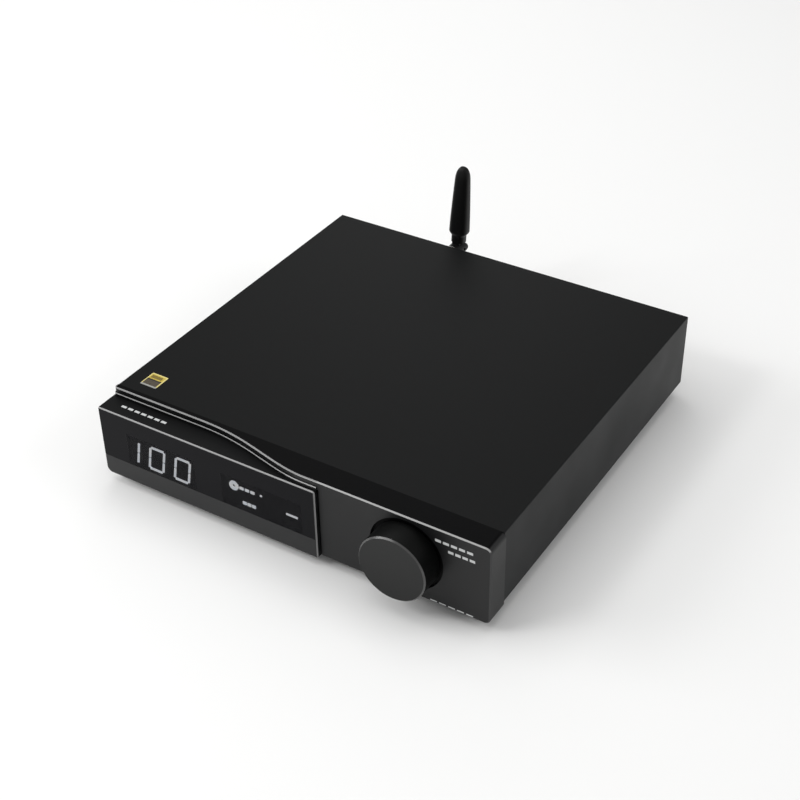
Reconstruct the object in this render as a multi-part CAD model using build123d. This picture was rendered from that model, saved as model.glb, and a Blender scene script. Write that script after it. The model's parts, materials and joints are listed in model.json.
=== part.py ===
from build123d import *
import math
import os

# Desktop digital-to-analogue converter, in millimetres.
# Each piece is drawn from the front panel's face (Y = 0, backwards positive), the middle of its
# width (X = 0) and its lower edge (Z = 0), and save() then moves it to stand on its feet at the origin.

GAP = 0.05

# ---- case ----
CASE_WIDTH = 188.0
PANEL_HEIGHT = 38.0
PANEL_DEPTH = 11.3
PANEL_CORNER = 2.5
PANEL_TOP_LEFT_CORNER = 0.9
PANEL_CHAMFER = 0.5
CASE_REAR = 183.0
SLEEVE_BOTTOM = 1.7
SLEEVE_INSET = 0.6
SLEEVE_ROOF = 2.0
SLEEVE_FLOOR = 2.5
SLEEVE_SIDE_WALL = 2.2
SLEEVE_TOP_RADIUS = 0.45
SLEEVE_BOTTOM_RADIUS = 0.9
SLEEVE_EDGE_BREAK = 0.3
CHANNEL_RADIUS = 2.9
CHANNEL_THREAD = 1.3
CHANNEL_MOUTH = 0.9
CHANNEL_INSET = 2.2
TAPPED_HOLE = 1.3

SLEEVE_HALF = CASE_WIDTH / 2 - SLEEVE_INSET
INNER_HALF = SLEEVE_HALF - SLEEVE_SIDE_WALL
INNER_FLOOR = SLEEVE_BOTTOM + SLEEVE_FLOOR
INNER_TOP = PANEL_HEIGHT - SLEEVE_ROOF

# ---- tray, feet and boards ----
TRAY_THICKNESS = 1.2
TRAY_PLAY = 0.1
TRAY_TOP = INNER_FLOOR + TRAY_PLAY + TRAY_THICKNESS
TRAY_HALF_WIDTH = 84.8
TRAY_REAR = 178.0
TRAY_SCREWS = [(x, z) for x in (-81.5, 81.5) for z in (11.0, 28.5)]
FOOT_CLEARANCE = 5.0
FOOT_RADIUS = 8.0
FOOT_HOLE = 1.7
FOOT_SCREW_SEAT = -0.8
FOOT_PLACES = [(x, y) for x in (-72.0, 72.0) for y in (24.0, 166.0)]
BOARD_THICKNESS = 1.6
BOARD_BOTTOM = TRAY_TOP + 5.0
BOARD_TOP = BOARD_BOTTOM + BOARD_THICKNESS
BOARD_HOLE = 1.6
STANDOFFS_MAIN = [(x, y) for x in (-44.0, 20.0, 80.0) for y in (50.0, 150.0)]
STANDOFFS_POWER = [(x, y) for x in (-80.0, -54.0) for y in (60.0, 152.0)]

# ---- display: the bezel stands in front of the panel and ends in a ledge under the S-shaped wall ----
LEDGE_HEIGHT = 33.9
STEP_HEIGHT = 35.5
WALL_SETBACK = 8.8
WALL_TIER = 0.6
WALL_TIER_BEVEL = 0.3
WALL_END_RADIUS = 1.8
DISPLAY_RIGHT = 16.2
SHADOW_GAP = 0.7
BEZEL_PROUD = 1.9
BEZEL_BACK = 8.1
BEZEL_CHAMFER = 0.45
BEZEL_CORNER = 1.0
WINDOW_BOTTOM = 9.1
WINDOW_TOP = 33.15
WINDOW_RIGHT = DISPLAY_RIGHT - 0.75
WINDOW_DEPTH = 1.2
WINDOW_BACK = -BEZEL_PROUD + WINDOW_DEPTH
DISPLAY_OPENING_X = (-79.0, 13.5)
DISPLAY_OPENING_Z = (9.3, 31.0)
LAMP_THICKNESS = 0.4
MODULE_FRONT = WINDOW_BACK + GAP + LAMP_THICKNESS
DISPLAY_BOARD_BOTTOM = TRAY_TOP + 0.5
DISPLAY_BOARD_SCREWS = [(-69.0, 7.6), (-69.0, 33.0), (20.0, 7.6), (69.0, 33.0)]

# ---- lit figures ----
DIGIT_BOTTOM = 9.95
DIGIT_HEIGHT = 11.6
DIGIT_WIDTH = 7.4
DIGIT_PITCH = 13.6
FIRST_ZERO_X = -70.6
SEGMENT = 0.95
SEGMENT_GAP = 0.35
SLANT = math.radians(9.7)

# ---- knob and encoder ----
KNOB_X = 56.9
KNOB_Z = 19.5
KNOB_RADIUS = 15.0
KNOB_FRONT = -10.8
KNOB_BACK = 0.4
KNOB_TRAVEL = 0.5
KNOB_WALL = 2.2
KNOB_FACE = 3.0
HUB_RADIUS = 5.6
KNOB_RECESS_RADIUS = 16.6
KNOB_RECESS_DEPTH = 1.5
SHAFT_RADIUS = 3.0
BUSHING_RADIUS = 3.5
BUSHING_PROUD = 0.6
ENCODER_FRONT = 5.8
ENCODER_HALF = 6.5
ENCODER_POCKET_HALF = 8.0
PLUNGER_FRONT = 9.7
PLUNGER_THICKNESS = 0.8
WASHER_THICKNESS = 0.5
NUT_FRONT = KNOB_RECESS_DEPTH - 2.3
HUB_BACK = NUT_FRONT - 1.2
GRUB_Y = (KNOB_FRONT + KNOB_FACE + HUB_BACK) / 2
GRUB_RADIUS = 1.5

# ---- rear panel and its sockets ----
REAR_PLATE = 2.0
REAR_RECESS = 0.4
REAR_OUTER = CASE_REAR - REAR_RECESS
REAR_INNER = REAR_OUTER - REAR_PLATE
XLR_PLACES = [(72.5, 20.0), (45.5, 20.0)]
XLR_COLLAR = 11.5
XLR_CUP = 9.45
XLR_CUP_BOTTOM = REAR_OUTER - 12.5
XLR_BODY_FRONT = REAR_OUTER - 22.0
XLR_NOTCH_WIDTH = 40.0
PHONO_PLACES = [(27.0, 18.0), (14.5, 18.0), (-31.0, 16.0)]
PHONO_BARREL = 4.15
PHONO_PROUD = 9.0
LINK_X = 0.0
LINK_WIDTH = 15.0
LINK_TOP = BOARD_TOP + 6.0
USB_X = -15.5
USB_WIDTH = 12.0
USB_TOP = BOARD_TOP + 11.0
OPTICAL_X = -43.5
OPTICAL_SIZE = 10.0
OPTICAL_TOP = BOARD_TOP + 10.1
OPTICAL_HOLE = 8.2
OPTICAL_Z = BOARD_TOP + 5.1
OPTICAL_PROUD = 1.1
SHUTTER_AXIS_Y = REAR_OUTER + 0.4
SHUTTER_AXIS_Z = OPTICAL_Z + OPTICAL_HOLE / 2 - 0.7
SHUTTER_THICKNESS = 0.8
SHUTTER_PIN = 0.35
MAINS_X = -69.0
MAINS_Z = 20.0
MAINS_DEPTH = 17.5
MAINS_FLANGE = (30.4, 24.4)
MAINS_BODY = (27.2, 20.2)
MAINS_CAVITY = (24.2, 16.8)
MAINS_PIN = (2.0, 4.0)
MAINS_PIN_END = REAR_OUTER - 25.0

# ---- antenna: its arm leans a little to the right in its fork ----
ANTENNA_X = -36.0
ANTENNA_Z = 27.0
ANTENNA_LEAN = 3.2
HINGE_Y = CASE_REAR + 17.45
SMA_RADIUS = 3.1
SMA_HEX = 8.0
COUPLING_FRONT = REAR_OUTER + 2.6
COUPLING_BACK = REAR_OUTER + 11.4
COUPLING_RADIUS = 4.0
SOCKET_END = REAR_OUTER + 7.0
STEM_RADIUS = 2.5
KNUCKLE_RADIUS = 3.7
FORK_GAP = 4.3
PIN_RADIUS = 1.0
TONGUE_RADIUS = 3.1
NECK_BOTTOM = 4.0
SHOULDER_DEPTH = 7.7
WHIP_SECTIONS = [(NECK_BOTTOM, 7.0, 6.0), (7.6, 7.3, 6.3), (10.0, 9.8, SHOULDER_DEPTH), (25.0, 8.2, 6.7),
                 (40.8, 5.9, 5.0), (43.6, 5.1, 4.3), (45.2, 3.6, 3.0), (45.9, 1.8, 1.5)]

# ---- inside ----
CAPACITOR_PLACES = [(-77.0, 73.0), (-61.0, 73.0), (-36.0, 64.0), (-36.0, 80.0), (-20.0, 64.0), (-20.0, 80.0)]
CHIP_PLACES = [(30.0, 95.0, 12.0), (55.0, 95.0, 12.0), (5.0, 110.0, 14.0), (30.0, 125.0, 7.0),
               (42.0, 125.0, 7.0), (55.0, 125.0, 7.0), (67.0, 125.0, 7.0), (-15.0, 120.0, 11.0)]
RELAY_PLACES = [(33.0, 142.0), (45.0, 142.0), (57.0, 142.0), (69.0, 142.0)]
WIRELESS_X = (-46.0, -30.0)
WIRELESS_Y = (128.0, 142.0)
LEAD_RADIUS = 0.6
MAINS_WIRE_RADIUS = 1.1

# ---- place of the whole object: origin under the middle of its box, on the feet ----
BACK_REACH = HINGE_Y + SHOULDER_DEPTH / 2
FACE_Y = -(BACK_REACH + KNOB_FRONT) / 2


def save(name, shape):
    """Move a piece to the row frame and write it."""
    solids = (Pos(0, FACE_Y, FOOT_CLEARANCE) * shape).solids()
    piece = solids[0] if len(solids) == 1 else Compound(children=list(solids))
    export_step(piece, f"parts/{name}.step")


def block(x, y, z):
    """Box between the two ends given for each axis."""
    size = [end[1] - end[0] for end in (x, y, z)]
    middle = [(end[1] + end[0]) / 2 for end in (x, y, z)]
    return Pos(*middle) * Box(*size)


def centred(middle, size):
    """Two ends around a middle."""
    return (middle - size / 2, middle + size / 2)


def rod_y(x, z, y, radius):
    """Round bar along Y between two ends."""
    return Pos(x, (y[0] + y[1]) / 2, z) * Rot(90, 0, 0) * Cylinder(radius, y[1] - y[0])


def rod_z(x, y, z, radius):
    """Upright round bar between two ends."""
    return Pos(x, y, (z[0] + z[1]) / 2) * Cylinder(radius, z[1] - z[0])


def rod_x(y, z, x, radius):
    """Round bar along X between two ends."""
    return Pos((x[0] + x[1]) / 2, y, z) * Rot(0, 90, 0) * Cylinder(radius, x[1] - x[0])


def tube_y(x, z, y, outer, inner):
    """Round tube along Y."""
    return rod_y(x, z, y, outer) - rod_y(x, z, y, inner)


def prism_y(sketch, y):
    """Outline drawn in X and Z, made solid between two depths."""
    plane = Plane(origin=(0, y[1], 0), x_dir=(1, 0, 0), z_dir=(0, -1, 0))
    return extrude(plane * sketch, y[1] - y[0])


def prism_z(sketch, z):
    """Outline drawn in X and Y, made solid between two heights."""
    return extrude(Plane.XY.offset(z[0]) * sketch, z[1] - z[0])


def hex_y(x, z, y, across_flats):
    """Hexagonal bar along Y."""
    outline = Pos(x, z) * RegularPolygon(across_flats / math.sqrt(3), 6)
    return prism_y(outline, y)


def screw(head_radius, head_height, shank_radius, length):
    """Pan-head screw with a cross recess: the head stands above Z = 0 and the shank hangs below."""
    slot_width = head_radius * 0.3
    slot_length = head_radius * 1.2
    slot_depth = head_height * 0.55
    head = Pos(0, 0, head_height / 2) * Cylinder(head_radius, head_height)
    head = fillet(head.edges().sort_by(Axis.Z)[-1], head_height * 0.4)
    slots = Box(slot_length, slot_width, slot_depth) + Box(slot_width, slot_length, slot_depth)
    head -= Pos(0, 0, head_height - slot_depth / 2) * slots
    return head + Pos(0, 0, -length / 2) * Cylinder(shank_radius, length)


def screws_backwards(places, y, size):
    """Screws whose heads face the rear, seated at depth y."""
    return [Pos(x, y, z) * Rot(-90, 0, 0) * screw(*size) for x, z in places]


def group(pieces):
    """Separate solids kept together in one node."""
    return Compound(children=[solid for piece in pieces for solid in piece.solids()])


# ---------------------------------------------------------------- case

def corner_channels():
    """Centres of the four screw channels in the sleeve's corners."""
    x = INNER_HALF - CHANNEL_INSET
    low, high = INNER_FLOOR + CHANNEL_INSET, INNER_TOP - CHANNEL_INSET
    return [(side * x, z) for side in (-1, 1) for z in (low, high)]


def case_sleeve():
    """Extruded tube with a screw channel in each corner, open at both ends."""
    height = PANEL_HEIGHT - SLEEVE_BOTTOM
    outline = Pos(0, SLEEVE_BOTTOM + height / 2) * Rectangle(2 * SLEEVE_HALF, height)
    outline = fillet(outline.vertices().group_by(Axis.Y)[-1], SLEEVE_TOP_RADIUS)
    outline = fillet(outline.vertices().group_by(Axis.Y)[0], SLEEVE_BOTTOM_RADIUS)
    sleeve = prism_y(outline, (PANEL_DEPTH, CASE_REAR))
    rear_edges = sleeve.faces().sort_by(Axis.Y)[-1].edges()
    sleeve = chamfer(rear_edges, SLEEVE_EDGE_BREAK)
    inside = (PANEL_DEPTH - 1, CASE_REAR + 1)
    sleeve -= block((-INNER_HALF, INNER_HALF), inside, (INNER_FLOOR, INNER_TOP))
    channel_run = (PANEL_DEPTH + 2, REAR_INNER - GAP)
    inner = block((-INNER_HALF, INNER_HALF), channel_run, (INNER_FLOOR, INNER_TOP))
    for x, z in corner_channels():
        channel = rod_y(x, z, channel_run, CHANNEL_RADIUS)
        sleeve += channel & inner
        toward_middle = -math.copysign(CHANNEL_RADIUS + 1, x)
        slit_x = sorted((x, x + toward_middle))
        sleeve -= rod_y(x, z, channel_run, CHANNEL_THREAD)
        sleeve -= block(slit_x, channel_run, centred(z, CHANNEL_MOUTH))
    for x, y in FOOT_PLACES:
        sleeve -= rod_z(x, y, (SLEEVE_BOTTOM - 1, INNER_FLOOR + 1), FOOT_HOLE)
    return sleeve


def wall_cut(forward, z, bevel):
    """Space in front of one tier of the S-shaped wall above the display, spreading over its bevelled edge."""
    side = -CASE_WIDTH / 2
    straight, flush = WALL_SETBACK - forward, -forward
    outside, ahead = side - 4.0, -4.0
    round_start = (side + WALL_END_RADIUS, straight)
    round_end = (side, straight + WALL_END_RADIUS)
    bend_start = (-46.0, straight)
    bend_end = (8.0, flush)
    wall = Bezier(bend_start, (-22.0, straight), (-8.0, flush + 0.6), bend_end)
    wall += TangentArc(round_start, round_end, tangent=(-1, 0))
    wall += Line(bend_start, round_start)
    rest = Polyline(bend_end, (DISPLAY_RIGHT, flush), (DISPLAY_RIGHT, ahead), (outside, ahead),
                    (outside, round_end[1]), round_end)
    outline = make_face(wall + rest)
    straight_top = z[1] - bevel
    cut = prism_z(outline, (z[0], straight_top))
    return cut + extrude(Pos(0, 0, straight_top) * outline, bevel * math.sqrt(2), dir=(0, 1, 1))


def panel_outline():
    """Front view of the panel: three round corners and a nearly square one at the top left."""
    outline = Pos(0, PANEL_HEIGHT / 2) * Rectangle(CASE_WIDTH, PANEL_HEIGHT)
    corners = outline.vertices().sort_by_distance((-CASE_WIDTH / 2, PANEL_HEIGHT, 0))
    outline = fillet(corners[1:], PANEL_CORNER)
    nearest = outline.vertices().sort_by_distance((-CASE_WIDTH / 2, PANEL_HEIGHT, 0))[0]
    return fillet(nearest, PANEL_TOP_LEFT_CORNER)


def front_panel():
    """Thick aluminium block, cut back in two steps above the display bezel."""
    panel = prism_y(panel_outline(), (0, PANEL_DEPTH))
    panel = chamfer(panel.faces().sort_by(Axis.Y)[0].edges(), PANEL_CHAMFER)
    panel += block((0, DISPLAY_RIGHT), (-WALL_TIER, 1.0), (LEDGE_HEIGHT, STEP_HEIGHT))
    panel -= wall_cut(0, (STEP_HEIGHT, PANEL_HEIGHT), PANEL_CHAMFER)
    panel -= wall_cut(WALL_TIER, (LEDGE_HEIGHT, STEP_HEIGHT), WALL_TIER_BEVEL)
    panel -= block((-CASE_WIDTH / 2 - 1, DISPLAY_RIGHT + SHADOW_GAP), (-1, BEZEL_BACK + GAP),
                   (-1, LEDGE_HEIGHT + GAP))
    panel -= rod_y(KNOB_X, KNOB_Z, (-1, KNOB_RECESS_DEPTH), KNOB_RECESS_RADIUS)
    panel -= rod_y(KNOB_X, KNOB_Z, (-1, PANEL_DEPTH + 1), BUSHING_RADIUS + 0.1)
    panel -= block(centred(KNOB_X, 2 * ENCODER_POCKET_HALF), (ENCODER_FRONT - 0.1, PANEL_DEPTH + 1),
                   centred(KNOB_Z, 2 * ENCODER_POCKET_HALF))
    panel -= block(DISPLAY_OPENING_X, (BEZEL_BACK - 1, PANEL_DEPTH + 1), DISPLAY_OPENING_Z)
    for x, z in TRAY_SCREWS + DISPLAY_BOARD_SCREWS:
        panel -= rod_y(x, z, (BEZEL_BACK + 0.5, PANEL_DEPTH + 1), TAPPED_HOLE)
    return panel


def chassis_tray():
    """Sheet steel floor with two upright tabs behind the front panel."""
    floor_z = (INNER_FLOOR + TRAY_PLAY, TRAY_TOP)
    front = PANEL_DEPTH + GAP
    tray = block((-TRAY_HALF_WIDTH, TRAY_HALF_WIDTH), (front, TRAY_REAR), floor_z)
    tab_width, tab_top = 11.0, 34.0
    for side in (-1, 1):
        tab_x = sorted((side * TRAY_HALF_WIDTH, side * (TRAY_HALF_WIDTH - tab_width)))
        tray += block(tab_x, (front, front + TRAY_THICKNESS), (floor_z[0], tab_top))
    screw_hole, foot_thread = 1.6, 1.55
    for x, z in TRAY_SCREWS:
        tray -= rod_y(x, z, (PANEL_DEPTH - 1, PANEL_DEPTH + 3), screw_hole)
    for x, y in FOOT_PLACES:
        tray -= rod_z(x, y, (INNER_FLOOR - 1, TRAY_TOP + 1), foot_thread)
    return tray


def front_panel_screws():
    """Four screws through the tray's tabs into the back of the front panel."""
    seat = PANEL_DEPTH + GAP + TRAY_THICKNESS
    return group(screws_backwards(TRAY_SCREWS, seat, (2.6, 1.8, 1.25, 3.0)))


def rear_panel():
    """Flat plate set into the sleeve's rear end, with one opening for each socket."""
    play, screw_hole = 0.15, 1.6
    plate = block((-INNER_HALF + play, INNER_HALF - play), (REAR_INNER, REAR_OUTER),
                  (INNER_FLOOR + play, INNER_TOP - play))
    through = (REAR_INNER - 1, REAR_OUTER + 1)
    for x, z in corner_channels():
        plate -= rod_y(x, z, through, screw_hole)
    for x, z in XLR_PLACES:
        plate -= rod_y(x, z, through, XLR_COLLAR + 0.15)
    for x, z in xlr_screw_places():
        plate -= rod_y(x, z, through, screw_hole)
    for x, z in PHONO_PLACES:
        plate -= rod_y(x, z, through, PHONO_BARREL + 0.25)
    plate -= block(centred(LINK_X, LINK_WIDTH + 0.4), through, (BOARD_TOP - 0.1, LINK_TOP + 0.2))
    plate -= block(centred(USB_X, USB_WIDTH + 0.4), through, (BOARD_TOP - 0.1, USB_TOP + 0.2))
    plate -= block(centred(OPTICAL_X, OPTICAL_SIZE + 0.4), through, (BOARD_TOP - 0.1, OPTICAL_TOP + 0.2))
    plate -= block(centred(MAINS_X, MAINS_BODY[0] + 0.4), through,
                   centred(MAINS_Z, MAINS_BODY[1] + 0.4))
    plate -= rod_y(ANTENNA_X, ANTENNA_Z, through, SMA_RADIUS + 0.15)
    return plate


def rear_panel_screws():
    """Four screws into the sleeve's corner channels."""
    return group(screws_backwards(corner_channels(), REAR_OUTER, (2.1, 1.4, 1.2, 9.0)))


def feet():
    """Four round rubber feet, each with a deep seat for its screw."""
    screw_seat_radius = 3.6
    pieces = []
    for x, y in FOOT_PLACES:
        foot = rod_z(x, y, (-FOOT_CLEARANCE, SLEEVE_BOTTOM), FOOT_RADIUS)
        foot = chamfer(foot.edges().sort_by(Axis.Z)[0], 1.0)
        foot -= rod_z(x, y, (-FOOT_CLEARANCE - 1, FOOT_SCREW_SEAT), screw_seat_radius)
        foot -= rod_z(x, y, (FOOT_SCREW_SEAT - 1, SLEEVE_BOTTOM + 1), FOOT_HOLE)
        pieces.append(foot)
    return group(pieces)


def foot_screws():
    """Screws from below through the feet and the sleeve into the tray."""
    size = (2.9, 2.0, 1.5, 8.4)
    return group([Pos(x, y, FOOT_SCREW_SEAT) * Rot(180, 0, 0) * screw(*size) for x, y in FOOT_PLACES])


def case_label():
    """Thin square label near the front left corner of the top."""
    thickness = 0.12
    outline = Pos(-81.7, 20.9) * RectangleRounded(8.4, 8.9, 0.4)
    return prism_z(outline, (PANEL_HEIGHT, PANEL_HEIGHT + thickness))


def dashes(ends, count, share):
    """Ends of evenly spaced dashes that fill a run, each a share of the pitch long."""
    pitch = (ends[1] - ends[0]) / (count - 1 + share)
    return [(ends[0] + index * pitch, ends[0] + (index + share) * pitch) for index in range(count)]


def printed_marks():
    """Plain printed dashes: one row on the ledge, two on the panel's right and one along its lower edge."""
    thickness = 0.08
    on_ledge = (LEDGE_HEIGHT, LEDGE_HEIGHT + thickness)
    on_face = (-thickness, 0)
    bars = [block(x, (3.2, 4.4), on_ledge) for x in dashes((-85.8, -62.0), 7, 0.72)]
    for ends, z, count in (((69.9, 86.3), (31.9, 33.1), 5), ((75.6, 87.2), (28.4, 29.6), 4),
                           ((67.7, 86.8), (0.75, 1.35), 5)):
        bars += [block(x, on_face, z) for x in dashes(ends, count, 0.75)]
    return group(bars)


# ---------------------------------------------------------------- display

def display_bezel():
    """Frame that stands proud of the panel; its lower strip shows below the window."""
    left = -CASE_WIDTH / 2
    width = DISPLAY_RIGHT - left
    outline = Pos(left + width / 2, LEDGE_HEIGHT / 2) * Rectangle(width, LEDGE_HEIGHT)
    outline = fillet(outline.vertices().sort_by_distance((left, 0, 0))[0], PANEL_CORNER)
    outline = fillet(outline.vertices().sort_by_distance((DISPLAY_RIGHT, LEDGE_HEIGHT, 0))[0], BEZEL_CORNER)
    bezel = prism_y(outline, (-BEZEL_PROUD, BEZEL_BACK))
    front_edges = bezel.faces().sort_by(Axis.Y)[0].edges()
    top = front_edges.filter_by(lambda edge: edge.center().Z > LEDGE_HEIGHT - 1)
    right = front_edges.filter_by(lambda edge: edge.center().X > DISPLAY_RIGHT - BEZEL_CHAMFER / 2)
    bezel = chamfer(set(top + right), BEZEL_CHAMFER)
    pocket_back = WINDOW_BACK + 2 * GAP
    bezel -= block((left - 1, WINDOW_RIGHT), (-BEZEL_PROUD - 1, pocket_back), (WINDOW_BOTTOM, WINDOW_TOP))
    bezel -= block(DISPLAY_OPENING_X, (pocket_back - 1, BEZEL_BACK + 1), DISPLAY_OPENING_Z)
    return bezel


def display_window():
    """Dark tinted acrylic plate, flush with the bezel."""
    x = (-CASE_WIDTH / 2, WINDOW_RIGHT - GAP)
    return block(x, (-BEZEL_PROUD, WINDOW_BACK), (WINDOW_BOTTOM + GAP, WINDOW_TOP - GAP))


def slanted_bar(start, end, width):
    """Flat lit bar between two points of the upright figure, leaned to the right with height."""
    (x0, z0), (x1, z1) = start, end
    half = width / 2
    if abs(x1 - x0) < abs(z1 - z0):
        corners = [(x0 - half, z0), (x0 + half, z0), (x1 + half, z1), (x1 - half, z1)]
    else:
        corners = [(x0, z0 - half), (x1, z1 - half), (x1, z1 + half), (x0, z0 + half)]
    leaned = [(x + (z - DIGIT_BOTTOM) * math.tan(SLANT), z) for x, z in corners]
    outline = make_face(Polyline(*leaned, close=True))
    return prism_y(outline, (WINDOW_BACK + GAP, MODULE_FRONT))


def display_digits():
    """The figure 100 in seven-segment bars."""
    top = DIGIT_BOTTOM + DIGIT_HEIGHT
    middle = DIGIT_BOTTOM + DIGIT_HEIGHT / 2
    half = SEGMENT / 2
    uprights = ((DIGIT_BOTTOM + half, middle - SEGMENT_GAP), (middle + SEGMENT_GAP, top - half))
    sides = [FIRST_ZERO_X - DIGIT_PITCH + DIGIT_WIDTH]
    bars = []
    for index in range(2):
        left = FIRST_ZERO_X + index * DIGIT_PITCH
        sides += [left, left + DIGIT_WIDTH]
        for z in (DIGIT_BOTTOM, top):
            bars.append(slanted_bar((left + half, z), (left + DIGIT_WIDTH - half, z), SEGMENT))
    for x in sides:
        for low, high in uprights:
            bars.append(slanted_bar((x, low), (x, high), SEGMENT))
    return group(bars)


def display_icons():
    """Lit disc, small bars and dash to the right of the figures."""
    depth = (WINDOW_BACK + GAP, MODULE_FRONT)
    icons = [rod_y(-25.2, 19.2, depth, 2.3) - rod_y(-25.2, 19.2, depth, 0.7)]
    icons += [block(x, depth, (18.6, 19.8)) for x in dashes((-22.3, -14.9), 3, 0.7)]
    icons.append(block((-12.0, -11.1), depth, (19.0, 19.7)))
    icons += [block(x, depth, (11.2, 12.6)) for x in dashes((-21.2, -14.8), 3, 0.75)]
    icons.append(block((0.7, 6.2), depth, (14.95, 15.75)))
    return group(icons)


def display_module():
    """Housing that carries the lit figures, on the display board."""
    x = (DISPLAY_OPENING_X[0] + 1, 8.0)
    z = (DISPLAY_OPENING_Z[0] + 0.1, DISPLAY_OPENING_Z[1] - 0.3)
    return block(x, (MODULE_FRONT, PANEL_DEPTH), z)


def ir_receiver():
    """Remote control receiver with a domed front."""
    x, z, front = 10.8, 15.0, 6.3
    body = block(centred(x, 4.0), (front, PANEL_DEPTH), centred(z, 6.0))
    return body + Pos(x, front, z) * Sphere(1.8)


def display_board():
    """Circuit board behind the front panel, for the display and the encoder."""
    half_width, top, screw_hole = 72.5, 35.0, 1.45
    board = block((-half_width, half_width), (PANEL_DEPTH, PANEL_DEPTH + BOARD_THICKNESS),
                  (DISPLAY_BOARD_BOTTOM, top))
    for x, z in DISPLAY_BOARD_SCREWS:
        board -= rod_y(x, z, (PANEL_DEPTH - 1, PANEL_DEPTH + 3), screw_hole)
    return board


def display_board_screws():
    """Screws that hold the display board to the front panel."""
    seat = PANEL_DEPTH + BOARD_THICKNESS
    return group(screws_backwards(DISPLAY_BOARD_SCREWS, seat, (2.0, 1.5, 1.25, 3.2)))


# ---------------------------------------------------------------- knob and encoder

def knob():
    """Turned aluminium cup with a central hub that grips the shaft."""
    hollow = KNOB_FRONT + KNOB_FACE
    body = rod_y(KNOB_X, KNOB_Z, (KNOB_FRONT, KNOB_BACK), KNOB_RADIUS)
    body = chamfer(body.edges().group_by(Axis.Y)[0], 0.6)
    body = chamfer(body.edges().group_by(Axis.Y)[-1], 0.4)
    body -= rod_y(KNOB_X, KNOB_Z, (hollow, KNOB_BACK + 1), KNOB_RADIUS - KNOB_WALL)
    body += rod_y(KNOB_X, KNOB_Z, (hollow, HUB_BACK), HUB_RADIUS)
    body -= rod_y(KNOB_X, KNOB_Z, (hollow, HUB_BACK + 1), SHAFT_RADIUS + 0.02)
    body -= grub_axis_rod(KNOB_Z - KNOB_RADIUS - 1, GRUB_RADIUS + 0.02)
    return body


def grub_axis_rod(low, radius):
    """Upright round bar on the grub screw's axis, from a height up to the shaft."""
    return rod_z(KNOB_X, GRUB_Y, (low, KNOB_Z - SHAFT_RADIUS - GAP), radius)


def knob_grub_screw():
    """Set screw that locks the knob to the shaft, reached from below."""
    length, key_radius, key_depth = 3.5, 0.85, 1.5
    low = KNOB_Z - SHAFT_RADIUS - GAP - length
    key = prism_z(Pos(KNOB_X, GRUB_Y) * RegularPolygon(key_radius, 6), (low - 0.1, low + key_depth))
    return grub_axis_rod(low, GRUB_RADIUS) - key


def encoder_shaft():
    """Shaft from the knob's hub through the bushing to the push switch's plunger."""
    return rod_y(KNOB_X, KNOB_Z, (KNOB_FRONT + KNOB_FACE, PLUNGER_FRONT), SHAFT_RADIUS)


def encoder_plunger():
    """Disc behind the shaft that presses the switch dome."""
    disc = (PLUNGER_FRONT, PLUNGER_FRONT + PLUNGER_THICKNESS)
    return rod_y(KNOB_X, KNOB_Z, disc, SHAFT_RADIUS + 0.6)


def encoder_body():
    """Encoder case with its threaded bushing, hollow for the shaft and the plunger."""
    body = block(centred(KNOB_X, 2 * ENCODER_HALF), (ENCODER_FRONT, PANEL_DEPTH),
                 centred(KNOB_Z, 2 * ENCODER_HALF))
    body += rod_y(KNOB_X, KNOB_Z, (NUT_FRONT - BUSHING_PROUD, ENCODER_FRONT), BUSHING_RADIUS)
    body -= rod_y(KNOB_X, KNOB_Z, (NUT_FRONT - 1, PLUNGER_FRONT), SHAFT_RADIUS + 0.06)
    chamber = (PLUNGER_FRONT - 0.2, PLUNGER_FRONT + PLUNGER_THICKNESS + KNOB_TRAVEL + 0.1)
    body -= rod_y(KNOB_X, KNOB_Z, chamber, SHAFT_RADIUS + 0.8)
    return body


def encoder_nut():
    """Hexagonal nut on a washer, hidden in the knob's hollow."""
    washer_radius, across_flats, bore = 5.5, 10.0, BUSHING_RADIUS + GAP
    seat = KNOB_RECESS_DEPTH - WASHER_THICKNESS
    washer = tube_y(KNOB_X, KNOB_Z, (seat, KNOB_RECESS_DEPTH), washer_radius, bore)
    nut = hex_y(KNOB_X, KNOB_Z, (NUT_FRONT, seat), across_flats)
    nut -= rod_y(KNOB_X, KNOB_Z, (NUT_FRONT - 1, KNOB_RECESS_DEPTH), bore)
    return group([washer, nut])


# ---------------------------------------------------------------- sockets on the rear panel

def xlr_screw_places():
    """Two screws at opposite corners of each balanced output."""
    reach_x, reach_z = 9.8, 11.0
    return [(x + sign * reach_x, z + sign * reach_z) for x, z in XLR_PLACES for sign in (-1, 1)]


def above_board(x, y):
    """Space at a socket's place that its solder side must leave to the main board."""
    return block(centred(x, XLR_NOTCH_WIDTH), y, (0, BOARD_TOP + GAP))


def xlr_housing(x, z):
    """Square body behind the panel with a round cup through it."""
    half_x, half_z, screw_thread = 12.8, 13.6, 1.25
    body = block(centred(x, 2 * half_x), (XLR_BODY_FRONT, REAR_INNER - GAP), centred(z, 2 * half_z))
    body -= above_board(x, (XLR_BODY_FRONT - 1, REAR_INNER))
    body += rod_y(x, z, (XLR_BODY_FRONT, REAR_OUTER + 1.3), XLR_COLLAR)
    body -= above_board(x, (XLR_BODY_FRONT - 1, REAR_INNER - 3.5))
    body -= rod_y(x, z, (XLR_BODY_FRONT - 1, REAR_OUTER + 2), XLR_CUP)
    for screw_x, screw_z in xlr_screw_places():
        body -= rod_y(screw_x, screw_z, (REAR_INNER - 7, REAR_INNER + 1), screw_thread)
    return body


def xlr_pin_places(x, z):
    """Three pins: two above, one below the middle."""
    return [(x - 3.3, z + 1.6), (x + 3.3, z + 1.6), (x, z - 3.0)]


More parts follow.
